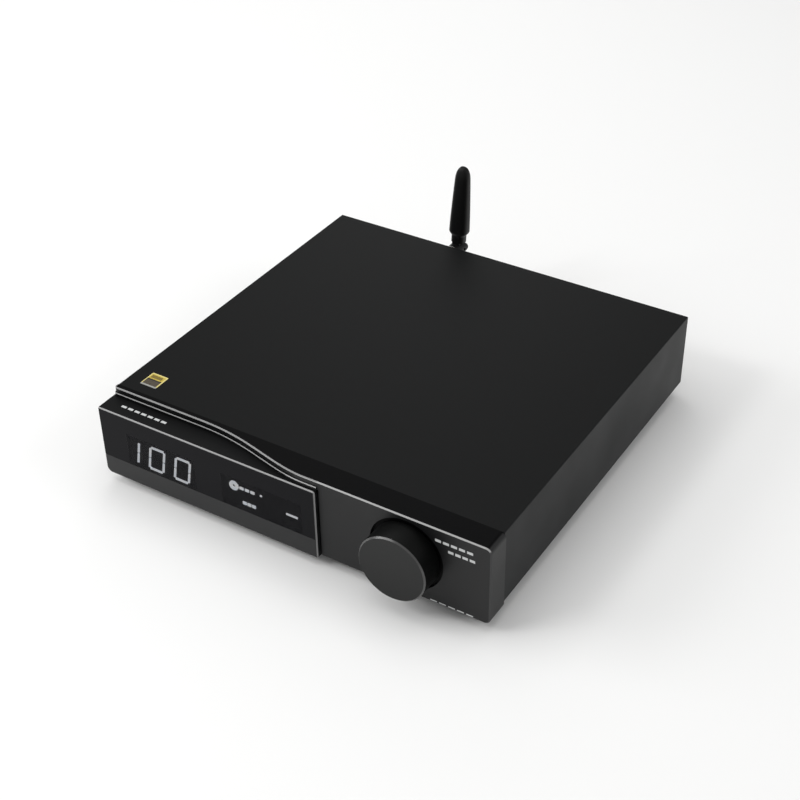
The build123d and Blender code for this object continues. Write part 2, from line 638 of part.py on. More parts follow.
def xlr_inserts():
    """Insulating discs at the bottom of the cups."""
    pin_hole = 1.25
    through = (XLR_BODY_FRONT - 1, XLR_CUP_BOTTOM + 1)
    pieces = []
    for x, z in XLR_PLACES:
        disc = rod_y(x, z, (XLR_BODY_FRONT, XLR_CUP_BOTTOM), XLR_CUP - GAP)
        disc -= above_board(x, through)
        for pin_x, pin_z in xlr_pin_places(x, z):
            disc -= rod_y(pin_x, pin_z, through, pin_hole)
        pieces.append(disc)
    return group(pieces)


def xlr_pins():
    """Six round-ended contact pins."""
    pin_radius = 1.2
    pin_end = REAR_OUTER - 0.5
    pieces = []
    for x, z in XLR_PLACES:
        for pin_x, pin_z in xlr_pin_places(x, z):
            pin = rod_y(pin_x, pin_z, (XLR_BODY_FRONT + 1, pin_end), pin_radius)
            pieces.append(fillet(pin.edges().group_by(Axis.Y)[-1], 0.8))
    return group(pieces)


def xlr_screws():
    """Screws through the rear panel into the balanced outputs."""
    return group(screws_backwards(xlr_screw_places(), REAR_OUTER, (2.3, 1.5, 1.2, 6.0)))


def phono_barrels():
    """Outer contact of each phono socket, with its flange on the panel."""
    flange_radius, bore = 5.6, 3.6
    end = REAR_OUTER + PHONO_PROUD
    pieces = []
    for x, z in PHONO_PLACES:
        barrel = rod_y(x, z, (REAR_INNER, end), PHONO_BARREL)
        barrel = chamfer(barrel.edges().group_by(Axis.Y)[-1], 0.3)
        barrel += rod_y(x, z, (REAR_OUTER + GAP, REAR_OUTER + 1.0), flange_radius)
        barrel -= rod_y(x, z, (REAR_INNER - 1, end + 1), bore)
        pieces.append(barrel)
    return group(pieces)


def phono_insulators():
    """Plastic body of each phono socket: a block on the board and a sleeve in the barrel."""
    body_start, body_width = REAR_INNER - 11.0, 10.0
    sleeve_radius, bore = 3.55, 2.0
    end = REAR_OUTER + PHONO_PROUD
    pieces = []
    for x, z in PHONO_PLACES:
        body = block(centred(x, body_width), (body_start, REAR_INNER - GAP),
                     (BOARD_TOP + GAP, z + body_width / 2))
        body += rod_y(x, z, (body_start, end - 0.8), sleeve_radius)
        body -= rod_y(x, z, (body_start - 1, end + 1), bore)
        pieces.append(body)
    return group(pieces)


def phono_contacts():
    """Centre contact of each phono socket, bored for the plug's pin."""
    outer, bore = 1.95, 1.6
    y = (REAR_INNER - 8.0, REAR_OUTER + PHONO_PROUD - 1.2)
    return group([tube_y(x, z, y, outer, bore) for x, z in PHONO_PLACES])


def link_shell():
    """Metal shell of the digital link socket, narrower at its lower corners."""
    wall = 0.5
    inset = 2.0
    low, high = BOARD_TOP + 0.1, LINK_TOP
    half = LINK_WIDTH / 2

    def outline(shrink):
        base, top, side = low + shrink, high - shrink, half - shrink
        points = [(LINK_X - side, top), (LINK_X + side, top), (LINK_X + side, base + inset),
                  (LINK_X + side - inset, base), (LINK_X - side + inset, base), (LINK_X - side, base + inset)]
        return make_face(Polyline(*points, close=True))

    depth = (REAR_OUTER - 11.0, REAR_OUTER + 0.6)
    shell = prism_y(outline(0), depth)
    return shell - prism_y(outline(wall), (depth[0] + wall, depth[1] + 1))


def link_insert():
    """Plastic block with the flat contact tongue of the digital link socket."""
    back = REAR_OUTER - 10.4
    low, high = BOARD_TOP + 0.7, LINK_TOP - 0.6
    block_half, tongue_half = 4.6, 5.4
    body = block(centred(LINK_X, 2 * block_half), (back, back + 3.0), (low, high))
    tongue_z = centred((low + high) / 2, 1.2)
    return body + block(centred(LINK_X, 2 * tongue_half), (back + 2.9, REAR_OUTER - 0.6), tongue_z)


def usb_shell():
    """Square metal shell of the USB socket."""
    wall = 0.4
    y = (REAR_OUTER - 15.0, REAR_OUTER + 0.8)
    outer = block(centred(USB_X, USB_WIDTH), y, (BOARD_TOP + 0.1, USB_TOP))
    inner = block(centred(USB_X, USB_WIDTH - 2 * wall), (y[0] + wall, y[1] + 1),
                  (BOARD_TOP + 0.1 + wall, USB_TOP - wall))
    return outer - inner


def usb_insert():
    """Plastic body of the USB socket with its square contact post."""
    play = 0.45
    depth = (REAR_OUTER - 14.5, REAR_OUTER + 0.5)
    low, high = BOARD_TOP + 0.1 + play, USB_TOP - play
    middle = (low + high) / 2
    body = block(centred(USB_X, USB_WIDTH - 2 * play), depth, (low, high))
    mouth = Pos(USB_X, middle) * Rectangle(8.5, 7.8)
    mouth = chamfer(mouth.vertices().group_by(Axis.Y)[-1], 1.6)
    body -= prism_y(mouth, (REAR_OUTER - 9.0, REAR_OUTER + 2))
    return body + block(centred(USB_X, 5.6), (REAR_OUTER - 9.5, REAR_OUTER - 0.6), centred(middle, 3.2))


def optical_socket():
    """Square socket whose mouth is closed by a swinging shutter."""
    y = (REAR_OUTER - 14.0, REAR_OUTER + OPTICAL_PROUD)
    body = block(centred(OPTICAL_X, OPTICAL_SIZE), y, (BOARD_TOP + 0.1, OPTICAL_TOP))
    body -= block(centred(OPTICAL_X, OPTICAL_HOLE), (REAR_OUTER - 10.5, REAR_OUTER + 2),
                  centred(OPTICAL_Z, OPTICAL_HOLE))
    pin_reach = OPTICAL_HOLE + 0.9
    return body - rod_x(SHUTTER_AXIS_Y, SHUTTER_AXIS_Z, centred(OPTICAL_X, pin_reach), SHUTTER_PIN + 0.05)


def optical_shutter():
    """Flap hung on a pin at the top of the optical socket's mouth; it swings inwards."""
    flap_width = OPTICAL_HOLE - 0.3
    half = SHUTTER_THICKNESS / 2
    bottom = OPTICAL_Z - OPTICAL_HOLE / 2 + 0.15
    flap = block(centred(OPTICAL_X, flap_width), (SHUTTER_AXIS_Y - half, SHUTTER_AXIS_Y + half),
                 (bottom, SHUTTER_AXIS_Z))
    flap += rod_x(SHUTTER_AXIS_Y, SHUTTER_AXIS_Z, centred(OPTICAL_X, flap_width), half)
    return flap + rod_x(SHUTTER_AXIS_Y, SHUTTER_AXIS_Z, centred(OPTICAL_X, OPTICAL_HOLE + 0.7), SHUTTER_PIN)


def mains_cavity_outline():
    """Inlet outline with its two upper corners cut away."""
    outline = Pos(MAINS_X, MAINS_Z) * Rectangle(*MAINS_CAVITY)
    return chamfer(outline.vertices().group_by(Axis.Y)[-1], 5.2)


def mains_inlet():
    """Three-pin mains inlet that snaps into the rear panel."""
    play = 0.04
    flange = Pos(MAINS_X, MAINS_Z) * RectangleRounded(*MAINS_FLANGE, 2.0)
    body = prism_y(flange, (REAR_OUTER + GAP, REAR_OUTER + 2.2))
    body += block(centred(MAINS_X, MAINS_BODY[0]), (REAR_OUTER - MAINS_DEPTH - 2.0, REAR_OUTER + 1),
                  centred(MAINS_Z, MAINS_BODY[1]))
    body -= prism_y(mains_cavity_outline(), (REAR_OUTER - MAINS_DEPTH + 1.5, REAR_OUTER + 3))
    for x, z in mains_pin_places():
        body -= block(centred(x, MAINS_PIN[0] + play), (REAR_OUTER - MAINS_DEPTH - 3, REAR_OUTER),
                      centred(z, MAINS_PIN[1] + play))
    return body


def mains_pin_places():
    """Line and neutral blades at the sides, the earth blade higher in the middle."""
    return [(MAINS_X - 7.0, MAINS_Z - 2.0), (MAINS_X + 7.0, MAINS_Z - 2.0), (MAINS_X, MAINS_Z + 2.0)]


def mains_pins():
    """Flat blades of the mains inlet."""
    pieces = []
    for x, z in mains_pin_places():
        blade = block(centred(x, MAINS_PIN[0]), (MAINS_PIN_END, REAR_OUTER - 0.5), centred(z, MAINS_PIN[1]))
        pieces.append(chamfer(blade.faces().sort_by(Axis.Y)[-1].edges(), 0.5))
    return group(pieces)


# ---------------------------------------------------------------- antenna

def sma_socket():
    """Threaded aerial socket through the rear panel, with a hexagonal flange inside."""
    bore = 2.2
    socket = rod_y(ANTENNA_X, ANTENNA_Z, (REAR_INNER - 5, SOCKET_END), SMA_RADIUS)
    socket = chamfer(socket.edges().group_by(Axis.Y)[-1], 0.3)
    socket += hex_y(ANTENNA_X, ANTENNA_Z, (REAR_INNER - 2, REAR_INNER - GAP), SMA_HEX)
    return socket - rod_y(ANTENNA_X, ANTENNA_Z, (REAR_OUTER + 1, SOCKET_END + 1), bore)


def sma_nut():
    """Nut that clamps the aerial socket to the panel."""
    nut = hex_y(ANTENNA_X, ANTENNA_Z, (REAR_OUTER + GAP, REAR_OUTER + 2.2), SMA_HEX)
    return nut - rod_y(ANTENNA_X, ANTENNA_Z, (REAR_OUTER - 1, REAR_OUTER + 3), SMA_RADIUS + GAP)


def antenna_coupling():
    """Bright metal nut of the antenna, screwed onto the aerial socket."""
    grip_end = COUPLING_FRONT + 4.5
    coupling = hex_y(ANTENNA_X, ANTENNA_Z, (COUPLING_FRONT, grip_end), SMA_HEX)
    coupling += rod_y(ANTENNA_X, ANTENNA_Z, (grip_end - 0.1, COUPLING_BACK), COUPLING_RADIUS)
    coupling -= rod_y(ANTENNA_X, ANTENNA_Z, (COUPLING_FRONT - 1, SOCKET_END + 0.4), SMA_RADIUS + GAP)
    return coupling - rod_y(ANTENNA_X, ANTENNA_Z, (SOCKET_END, COUPLING_BACK + 1), STEM_RADIUS + GAP)


def lean(shape):
    """Bring an antenna piece drawn around X = 0 and Z = 0 to the coupling's axis, leaning to the right."""
    return Pos(ANTENNA_X, 0, ANTENNA_Z) * Rot(0, ANTENNA_LEAN, 0) * shape


def antenna_knuckle():
    """Black base that swivels in the coupling and forks around the whip's foot."""
    base_end = HINGE_Y - 1.0
    width = 2 * KNUCKLE_RADIUS
    cheek_half = KNUCKLE_RADIUS - 0.2
    tongue_room = TONGUE_RADIUS + 0.25
    slot = centred(0, FORK_GAP)
    ears = rod_x(HINGE_Y, 0, centred(0, width), cheek_half)
    ears += block(centred(0, width), (base_end - 1.0, HINGE_Y), centred(0, 2 * cheek_half))
    round_outside = rod_y(0, 0, (base_end - 2, HINGE_Y + KNUCKLE_RADIUS + 1), KNUCKLE_RADIUS)
    knuckle = rod_y(0, 0, (COUPLING_BACK + 0.1, base_end), KNUCKLE_RADIUS) + (ears & round_outside)
    knuckle -= rod_x(HINGE_Y, 0, slot, tongue_room)
    knuckle -= block(slot, (HINGE_Y - 1.0, HINGE_Y + 8), centred(0, 12.0))
    knuckle -= block(slot, (HINGE_Y - tongue_room, HINGE_Y), (0, 6.0))
    knuckle += rod_y(0, 0, (SOCKET_END + 0.8, COUPLING_BACK + 0.1), STEM_RADIUS)
    return lean(knuckle - rod_x(HINGE_Y, 0, centred(0, 12.0), PIN_RADIUS + 0.02))


def antenna_pin():
    """Hinge pin across the fork."""
    return lean(rod_x(HINGE_Y, 0, centred(0, 2 * KNUCKLE_RADIUS - 1.2), PIN_RADIUS))


def whip_section(z, width, depth):
    """Rounded rectangular section of the whip at a height above its hinge."""
    return Pos(0, HINGE_Y, z) * RectangleRounded(width, depth, 0.32 * depth)


def antenna_whip():
    """Tapered black whip: a tongue in the fork, a neck, a shoulder and a long blade with a round tip."""
    thickness = FORK_GAP - 0.2
    whip = loft([whip_section(*section) for section in WHIP_SECTIONS], ruled=True)
    whip += rod_x(HINGE_Y, 0, centred(0, thickness), TONGUE_RADIUS)
    whip += block(centred(0, thickness), centred(HINGE_Y, 2 * TONGUE_RADIUS - 0.2), (0, NECK_BOTTOM + 0.5))
    return lean(whip - rod_x(HINGE_Y, 0, centred(0, 12.0), PIN_RADIUS + GAP))


# ---------------------------------------------------------------- inside

def drilled_board(x, y, holes):
    """Circuit board with its screw holes."""
    board = block(x, y, (BOARD_BOTTOM, BOARD_TOP))
    for hole_x, hole_y in holes:
        board -= rod_z(hole_x, hole_y, (BOARD_BOTTOM - 1, BOARD_TOP + 1), BOARD_HOLE)
    return board


def main_board():
    """Converter and output board that carries the signal sockets."""
    return drilled_board((-49.0, 85.0), (44.0, REAR_INNER - 4.0), STANDOFFS_MAIN)


def power_board():
    """Mains and supply board on the inlet's side."""
    return drilled_board((-86.0, -50.0), (52.0, 158.0), STANDOFFS_POWER)


def board_standoffs():
    """Threaded pillars pressed into the tray."""
    pieces = []
    for x, y in STANDOFFS_MAIN + STANDOFFS_POWER:
        pillar = rod_z(x, y, (TRAY_TOP, BOARD_BOTTOM), 2.7)
        pieces.append(pillar - rod_z(x, y, (TRAY_TOP + 0.5, BOARD_BOTTOM + 1), TAPPED_HOLE))
    return group(pieces)


def board_screws():
    """Screws that hold both boards to the pillars."""
    places = STANDOFFS_MAIN + STANDOFFS_POWER
    return group([Pos(x, y, BOARD_TOP) * screw(2.7, 1.8, 1.25, 5.5) for x, y in places])


def power_transformer():
    """Shielded transformer block on the power board."""
    core = block((-83.0, -55.0), (92.0, 128.0), (BOARD_TOP, BOARD_TOP + 19.0))
    return fillet(core.edges().filter_by(Axis.Z), 2.0)


def filter_capacitors():
    """Upright supply capacitors."""
    radius, height = 6.3, 19.5
    cans = [rod_z(x, y, (BOARD_TOP, BOARD_TOP + height), radius) for x, y in CAPACITOR_PLACES]
    return group([fillet(can.edges().group_by(Axis.Z)[-1], 0.8) for can in cans])


def converter_chips():
    """Flat square packages: converters, receiver, processor and output amplifiers."""
    height = 1.2
    pieces = []
    for x, y, size in CHIP_PLACES:
        pieces.append(block(centred(x, size), centred(y, size), (BOARD_TOP, BOARD_TOP + height)))
    return group(pieces)


def output_relays():
    """Muting relays ahead of the analogue outputs."""
    width, depth, height = 7.4, 14.0, 9.0
    z = (BOARD_TOP, BOARD_TOP + height)
    return group([block(centred(x, width), centred(y, depth), z) for x, y in RELAY_PLACES])


def wireless_module():
    """Wireless receiver under its metal can."""
    return block(WIRELESS_X, WIRELESS_Y, (BOARD_TOP, BOARD_TOP + 2.6))


def wire(points, radii, wire_radius):
    """Lead of straight runs joined by tangent arcs."""
    path = FilletPolyline(*points, radius=radii)
    start = Plane(origin=path @ 0, z_dir=path % 0)
    return sweep(start * Circle(wire_radius), path)


def antenna_lead():
    """Thin coaxial lead from the wireless module to the back of the aerial socket."""
    low = BOARD_TOP + 4.0
    points = [(-38.0, WIRELESS_Y[1] + 0.2, low), (-38.0, 149.0, low), (-36.5, 158.0, ANTENNA_Z - 2.0),
              (ANTENNA_X, 167.0, ANTENNA_Z), (ANTENNA_X, REAR_INNER - 5.05, ANTENNA_Z)]
    return wire(points, [3.0, 5.0, 5.0], LEAD_RADIUS)


def mains_wires():
    """Line and neutral leads from the inlet's blades to the power board."""
    pieces = []
    back = MAINS_PIN_END - GAP
    height, landing = MAINS_Z - 2.0, 144.0
    for side in (-1, 1):
        x = MAINS_X + 7.0 * side
        points = [(x, back, height), (x, back - 8.0, height), (x, landing, height + 3.0),
                  (x, landing, BOARD_TOP + GAP)]
        pieces.append(wire(points, [3.0, 3.5], MAINS_WIRE_RADIUS))
    return group(pieces)


def ribbon_cable():
    """Flat cable from the display board over to the main board."""
    thickness = 0.5
    z_high, z_low = 22.0, BOARD_TOP + 0.3
    start = PANEL_DEPTH + 1.9
    side_view = FilletPolyline((start, z_high), (start + 12.0, z_high), (start + 24.0, z_low + 6.0),
                               (52.0, z_low + 6.0), (52.0, z_low), radius=[4.0, 4.0, 4.0])
    outline = offset(side_view, thickness / 2, side=Side.BOTH, kind=Kind.TANGENT)
    plane = Plane(origin=(-8.0, 0, 0), x_dir=(0, 1, 0), z_dir=(1, 0, 0))
    return extrude(plane * make_face(outline.edges()), 16.0)


PIECES = [
    case_sleeve, front_panel, chassis_tray, front_panel_screws, rear_panel, rear_panel_screws, feet,
    foot_screws, case_label, printed_marks, display_bezel, display_window, display_module, display_digits,
    display_icons, ir_receiver, display_board, display_board_screws, knob, knob_grub_screw, encoder_shaft,
    encoder_plunger, encoder_body, encoder_nut, xlr_inserts, xlr_pins, xlr_screws, phono_barrels,
    phono_insulators, phono_contacts, optical_socket, optical_shutter, usb_shell, usb_insert, link_shell,
    link_insert, mains_inlet, mains_pins, sma_socket, sma_nut, antenna_coupling, antenna_knuckle, antenna_pin,
    antenna_whip, main_board, power_board, board_standoffs, board_screws, power_transformer,
    filter_capacitors, converter_chips, output_relays, wireless_module, antenna_lead, mains_wires,
    ribbon_cable,
]


def main():
    os.makedirs("parts", exist_ok=True)
    for piece in PIECES:
        save(piece.__name__, piece())
    for side, (x, z) in zip(("left", "right"), XLR_PLACES):
        save(f"xlr_housing_{side}", xlr_housing(x, z))


main()
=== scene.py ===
import json
import math

import bmesh
import bpy
from mathutils import Matrix, Vector


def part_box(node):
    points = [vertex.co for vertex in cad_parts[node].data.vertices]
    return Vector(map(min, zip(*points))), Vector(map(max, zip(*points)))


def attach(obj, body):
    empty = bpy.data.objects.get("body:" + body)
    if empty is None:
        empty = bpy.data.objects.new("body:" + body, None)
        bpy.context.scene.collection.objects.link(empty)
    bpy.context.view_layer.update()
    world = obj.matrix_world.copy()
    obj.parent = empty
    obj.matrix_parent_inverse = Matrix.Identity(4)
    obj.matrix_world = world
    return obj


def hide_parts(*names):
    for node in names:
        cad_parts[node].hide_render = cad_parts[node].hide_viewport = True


# Desktop digital-to-analogue converter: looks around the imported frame, in metres.

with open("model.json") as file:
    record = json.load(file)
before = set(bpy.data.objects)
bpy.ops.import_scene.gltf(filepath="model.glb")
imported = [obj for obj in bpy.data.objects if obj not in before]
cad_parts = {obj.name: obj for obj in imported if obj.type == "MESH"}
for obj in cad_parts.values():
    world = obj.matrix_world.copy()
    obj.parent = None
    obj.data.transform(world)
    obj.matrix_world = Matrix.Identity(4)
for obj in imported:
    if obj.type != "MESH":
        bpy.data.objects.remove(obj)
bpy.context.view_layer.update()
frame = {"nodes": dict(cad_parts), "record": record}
nodes = frame["nodes"]
MM = 0.001


# ---------------------------------------------------------------- camera, floor and light

CAMERA_AZIMUTH = math.radians(32.44)
CAMERA_ELEVATION = math.radians(35.94)
CAMERA_ROLL = math.radians(-1.0)
CAMERA_DISTANCE = 0.6546
CAMERA_TARGET = Vector((0.0023, -0.0132, 0.0250))
CAMERA_LENS = 67.35

SENSOR_WIDTH = 36.0
NEAR_CLIP = 0.01

WORLD_LIGHT = 0.42
FLOOR_HALF = 6.0
FLOOR_COLOUR = (0.88, 0.88, 0.875, 1)
FLOOR_ROUGHNESS = 0.7
FLOOR_SPECULAR = 0.2
SOFTBOXES = [
    # name, azimuth and elevation in degrees, distance, width and height in metres, watts
    ("overhead", -100.0, 80.0, 1.6, (1.7, 1.7), 11.6),
    ("key_left", -62.0, 28.0, 1.5, (0.9, 0.6), 8.5),
    ("front_glint", -37.0, 44.0, 1.6, (0.4, 0.3), 4.4),
    ("right_fill", 105.0, 34.0, 1.6, (0.8, 0.8), 4.4),
    ("top_sheen", -150.0, 29.0, 0.9, (0.4, 0.3), 0.4),
]


def view_axes(azimuth, elevation, roll=0.0):
    """Right, up and back directions of a view from that azimuth and elevation."""
    back = Vector((math.sin(azimuth) * math.cos(elevation), -math.cos(azimuth) * math.cos(elevation),
                   math.sin(elevation)))
    level = Vector((math.cos(azimuth), math.sin(azimuth), 0.0))
    steep = back.cross(level)
    right = math.cos(roll) * level + math.sin(roll) * steep
    up = math.cos(roll) * steep - math.sin(roll) * level
    return right, up, back


def looking(axes, place):
    """Transform of a camera or lamp at a place, with those right, up and back axes."""
    turn = Matrix(axes).transposed().to_4x4()
    return Matrix.Translation(place) @ turn


def add_camera():
    """Camera in front and to the right of the object, looking down at it."""
    data = bpy.data.cameras.new("camera")
    data.lens = CAMERA_LENS
    data.sensor_width = SENSOR_WIDTH
    data.clip_start = NEAR_CLIP
    camera = bpy.data.objects.new("camera", data)
    axes = view_axes(CAMERA_AZIMUTH, CAMERA_ELEVATION, CAMERA_ROLL)
    camera.matrix_world = looking(axes, CAMERA_TARGET + axes[2] * CAMERA_DISTANCE)
    bpy.context.scene.collection.objects.link(camera)
    bpy.context.scene.camera = camera


def add_softbox(name, azimuth, elevation, distance, size, power):
    """Rectangular area lamp that faces the object from that direction."""
    data = bpy.data.lights.new(name, "AREA")
    data.shape = "RECTANGLE"
    data.size, data.size_y = size
    data.energy = power
    lamp = bpy.data.objects.new(name, data)
    axes = view_axes(math.radians(azimuth), math.radians(elevation))
    lamp.matrix_world = looking(axes, axes[2] * distance)
    bpy.context.scene.collection.objects.link(lamp)


def add_floor_and_light():
    """Flat white floor, even white sky and softboxes."""
    mesh = bpy.data.meshes.new("floor")
    corners = [(x * FLOOR_HALF, y * FLOOR_HALF, 0) for x, y in ((-1, -1), (1, -1), (1, 1), (-1, 1))]
    mesh.from_pydata(corners, [], [(0, 1, 2, 3)])
    floor = bpy.data.objects.new("floor", mesh)
    bpy.context.scene.collection.objects.link(floor)
    material = bpy.data.materials.new("floor_white")
    material.use_nodes = True
    shader = material.node_tree.nodes["Principled BSDF"]
    shader.inputs["Base Color"].default_value = FLOOR_COLOUR
    shader.inputs["Roughness"].default_value = FLOOR_ROUGHNESS
    shader.inputs["Specular IOR Level"].default_value = FLOOR_SPECULAR
    mesh.materials.append(material)
    world = bpy.data.worlds.new("studio")
    world.use_nodes = True
    background = world.node_tree.nodes["Background"]
    background.inputs["Color"].default_value = (1.0, 1.0, 1.0, 1)
    background.inputs["Strength"].default_value = WORLD_LIGHT
    bpy.context.scene.world = world
    for softbox in SOFTBOXES:
        add_softbox(*softbox)
    bpy.context.scene.view_settings.view_transform = "Standard"


# ---------------------------------------------------------------- materials

# most of a noise's values lie between these two
NOISE_LOW = 0.3
NOISE_HIGH = 0.7

# soft patches of roughness, and how far they take it down and up
PATCH_SCALE = 28.0
ROUGHNESS_DOWN = 0.9
ROUGHNESS_UP = 1.12

# anodised metal: painted shade on faces that point up, as a share of its own colour, and the roughness of
# painted highlights on chamfers
TOP_SHADE = 0.4
HIGHLIGHT_ROUGHNESS = 0.3

# spans of one part of a surface's direction, over which a painted shade or highlight fades in or out
NEARLY_UP = (0.85, 0.95)
LEANING = (0.3, 0.45)
OFF_FRONT = (-0.98, -0.93)
PAST_CHAMFER = (-0.5, -0.35)
OFF_WALL_FRONT = (-0.9, -0.8)
FRONT_FACING = -0.8
KNOB_OFF_FACE = (-0.95, -0.85)
KNOB_PAST_CHAMFER = (-0.55, -0.5)
KNOB_SIDE = (-0.5, -0.3)

# front panel: radius round the knob inside which its recess gets painted shade, and a depth behind the
# chamfers of the face
KNOB_RECESS_SHADE = 16.75 * MM
BEHIND_FACE = 0.75 * MM
# knob: radians per metre of its turning rings, and specular level at its lowest and highest point
TURNING_RINGS = 22000.0
KNOB_SPECULAR = (0.23, 0.31)
# display: glow of its segments, and the window's opacity over them and over a margin round them
SEGMENT_GLOW = 10.5
WINDOW_OPACITY = 0.8
WINDOW_MARGIN = 3.0 * MM
WINDOW_SPECULAR = 0.075
# phono sockets: half the width and the depth that hold a mouth's coloured ring
PHONO_HALF = 5.0 * MM
PHONO_MOUTH = 6.0 * MM
AERIAL_KNURLS = 36.0

# label, as fractions of its width from the left and of its depth from the front
LABEL_SILVER_TOP = 0.10
LABEL_BROWN_TOP = 0.47
LABEL_GOLD_BOTTOM = 0.56
LABEL_FRAME_LEFT = 0.05
LABEL_FRAME_RIGHT = 0.93
LABEL_FRAME_BACK = 0.93
LABEL_FIELD_ACROSS = (0.12, 0.80)
LABEL_FIELD_BACK = (0.64, 0.86)
LABEL_GOLDS = ((0.40, 0.29, 0.03, 1), (0.55, 0.42, 0.06, 1))
LABEL_FIELD = (0.17, 0.12, 0.012, 1)
LABEL_FRAME = (0.70, 0.60, 0.22, 1)
LABEL_BLACK = (0.010, 0.008, 0.006, 1)
LABEL_BROWN = (0.055, 0.042, 0.025, 1)
LABEL_SILVER = (0.30, 0.30, 0.28, 1)


class Shading:
    """Short way to build a material's nodes around one Principled shader."""

    def __init__(self, name):
        self.material = bpy.data.materials.new(name)
        self.material.use_nodes = True
        self.nodes = self.material.node_tree.nodes
        self.links = self.material.node_tree.links
        self.shader = self.nodes["Principled BSDF"]
        self.place = self.add("ShaderNodeTexCoord").outputs["Object"]

    def add(self, kind, **values):
        """New node with its inputs or properties set by name."""
        node = self.nodes.new(kind)
        for name, value in values.items():
            label = name.replace("_", " ")
            if label in node.inputs:
                self.feed(node.inputs[label], value)
            else:
                setattr(node, name, value)
        return node

    def feed(self, socket, value):
        """Link an output or set a plain value."""
        if isinstance(value, bpy.types.NodeSocket):
            self.links.new(value, socket)
        else:
            socket.default_value = value

    def set(self, **values):
        """Set or link inputs of the Principled shader."""
        for name, value in values.items():
            self.feed(self.shader.inputs[name.replace("_", " ")], value)

    def noise(self, scale, detail=2.0, roughness=0.5):
        """Fractal noise in the frame's metres."""
        node = self.add("ShaderNodeTexNoise", Scale=scale, Detail=detail, Roughness=roughness)
        self.links.new(self.place, node.inputs["Vector"])
        return node.outputs["Fac"]

    def remap(self, value, low, high, from_low=NOISE_LOW, from_high=NOISE_HIGH):
        """Value spread from one range, a noise's by default, to another, and kept inside it."""
        node = self.add("ShaderNodeMapRange")
        for index, number in ((0, value), (1, from_low), (2, from_high), (3, low), (4, high)):
            self.feed(node.inputs[index], number)
        return node.outputs["Result"]

    def rising(self, value, start, end):
        """0 up to start, 1 from end on."""
        return self.remap(value, 0.0, 1.0, start, end)

    def falling(self, value, start, end):
        """1 up to start, 0 from end on."""
        return self.remap(value, 1.0, 0.0, start, end)

    def between(self, mask, first, second):
        """First value where the mask is 0, second where it is 1."""
        return self.remap(mask, first, second, 0.0, 1.0)

    def math(self, operation, *values):
        """One arithmetic step."""
        node = self.add("ShaderNodeMath", operation=operation)
        for index, value in enumerate(values):
            self.feed(node.inputs[index], value)
        return node.outputs[0]

    def mix(self, factor, first, second):
        """Blend of two colours."""
        node = self.add("ShaderNodeMix", data_type="RGBA")
        for index, value in ((0, factor), (6, first), (7, second)):
            self.feed(node.inputs[index], value)
        return node.outputs[2]

    def axes_of(self, vector):
        """X, Y and Z of a vector."""
        node = self.add("ShaderNodeSeparateXYZ")
        self.links.new(vector, node.inputs[0])
        return node.outputs

    def product(self, first, *others):
        """All the values multiplied, which for masks is where they overlap."""
        for other in others:
            first = self.math("MULTIPLY", first, other)
        return first

    def facing(self):
        """X, Y and Z of the surface's direction."""
        return self.axes_of(self.add("ShaderNodeTexCoord").outputs["Normal"])

    def bump(self, height, distance):
        """Fine relief from a height value."""
        node = self.add("ShaderNodeBump", Distance=distance, Strength=1.0)
        self.links.new(height, node.inputs["Height"])
        self.set(Normal=node.outputs["Normal"])


def grey(level):
    """Neutral colour of that brightness."""
    return level, level, level


def shade(colour, factor=1.0):
    """Colour with full alpha, brightened or darkened."""
    return tuple(channel * factor for channel in colour) + (1.0,)


def grained(name, colour, roughness, grain, relief, spread, metallic=0.0, specular=0.5):
    """Surface with fine grain, soft patches of roughness and slight colour variation."""
    s = Shading(name)
    fine = s.noise(grain, 3.0, 0.6)
    patches = s.noise(PATCH_SCALE)
    tone = s.remap(fine, 0.0, 1.0)
    s.set(Base_Color=s.mix(tone, shade(colour, 1 - spread), shade(colour, 1 + spread)))
    s.set(Roughness=s.remap(patches, roughness * ROUGHNESS_DOWN, roughness * ROUGHNESS_UP))
    s.set(Metallic=metallic, Specular_IOR_Level=specular)
    s.bump(fine, relief)
    return s


def part_of(s, low, high):
    """1 inside a box of object coordinates, 0 outside."""
    inside = 1.0
    for axis, first, last in zip(s.axes_of(s.place), low, high):
        inside = s.product(inside, s.math("GREATER_THAN", axis, first), s.math("LESS_THAN", axis, last))
    return inside


def recolour(s, mask, colour, roughness, specular=None):
    """Change the look where the mask is 1."""
    plain = s.shader.inputs["Base Color"].links[0].from_socket
    s.set(Base_Color=s.mix(mask, plain, colour))
    rough = s.shader.inputs["Roughness"].links[0].from_socket
    s.set(Roughness=s.between(mask, rough, roughness))
    if specular is not None:
        level = s.shader.inputs["Specular IOR Level"]
        usual = level.links[0].from_socket if level.links else level.default_value
        s.feed(level, s.between(mask, usual, specular))


def anodised(name, colour, roughness, highlight_colour, specular, side_highlight=0.0, top_specular=0.1):
    """Bead-blasted black anodised aluminium, with painted shade on faces that point up.

    Its front chamfers carry a painted highlight along the top, and a share of it, given as an argument,
    down the right side.
    """
    s = grained(name, colour, roughness, grain=2200.0, relief=0.000012, spread=0.10, specular=specular)
    x, y, z = s.facing()
    # painted shade: faces that point up are darkened to a share of the colour
    recolour(s, s.rising(z, *NEARLY_UP), shade(colour, TOP_SHADE), roughness, top_specular)
    # painted highlight: a brighter colour on front chamfers that lean up, and a share of it on those that
    # face right
    chamfer = s.product(s.rising(y, *OFF_FRONT), s.falling(y, *PAST_CHAMFER))
    above = s.rising(z, *LEANING)
    beside = s.remap(x, 0.0, side_highlight, *LEANING)
    recolour(s, s.product(chamfer, s.math("MAXIMUM", above, beside)), shade(highlight_colour), HIGHLIGHT_ROUGHNESS)
    return s


def from_axis(s, node):
    """Distances in X and Z from the middle of a node that is round about Y."""
    low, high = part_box(node)
    x, _, z = s.axes_of(s.place)
    return s.math("SUBTRACT", x, (low.x + high.x) / 2), s.math("SUBTRACT", z, (low.z + high.z) / 2)


